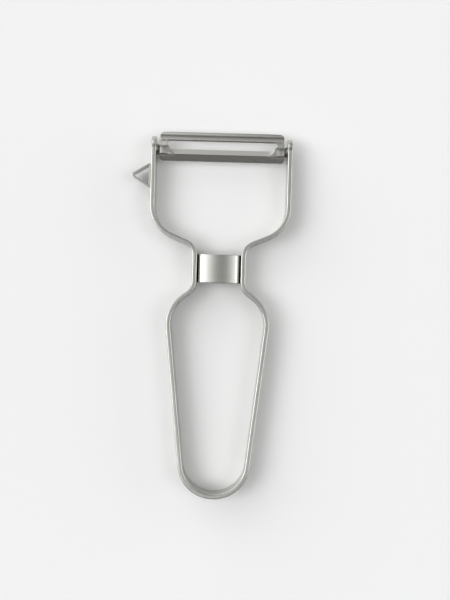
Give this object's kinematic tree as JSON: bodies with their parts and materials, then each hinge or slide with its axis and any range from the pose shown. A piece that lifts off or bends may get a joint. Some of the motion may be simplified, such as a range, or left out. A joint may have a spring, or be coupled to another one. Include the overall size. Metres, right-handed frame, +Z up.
{
  "type": "vegetable peeler",
  "caption": "All-metal vegetable peeler: a flat strip bent on edge into a tapered handle loop, a collared waist and a fork that holds a swivelling slotted blade.",
  "frame": {"origin": "on the plane that the peeler lies on, under the middle of the strip's thickness at the handle's butt", "axes": "+Y from the handle's butt towards the blade, +Z up, square to the plane it lies on, X along the blade with the eye remover on the -X side"},
  "size_m": [0.0675, 0.1547, 0.011],
  "materials": {
    "frame_strip": "satin stainless steel, brushed along the strip",
    "waist_collar": "brushed stainless steel, brushed across the handle",
    "blade": "hardened steel, with a bright ground bevel",
    "pivot_stud": "turned steel",
    "eye_remover": "satin stainless steel strip"
  },
  "bodies": {
    "frame": {"frame_strip": "frame_strip", "waist_collar": "waist_collar", "pivot_stud_left": "pivot_stud", "pivot_stud_right": "pivot_stud", "eye_remover": "eye_remover"},
    "blade": {"swivel_blade": "blade"}
  },
  "joints": [
    {"name": "blade_swivel", "type": "hinge", "parent": "frame", "child": "blade", "pos_m": [0, 0.1463, 0.0055], "axis": [1, 0, 0], "range_deg": [-30, 30]}
  ]
}
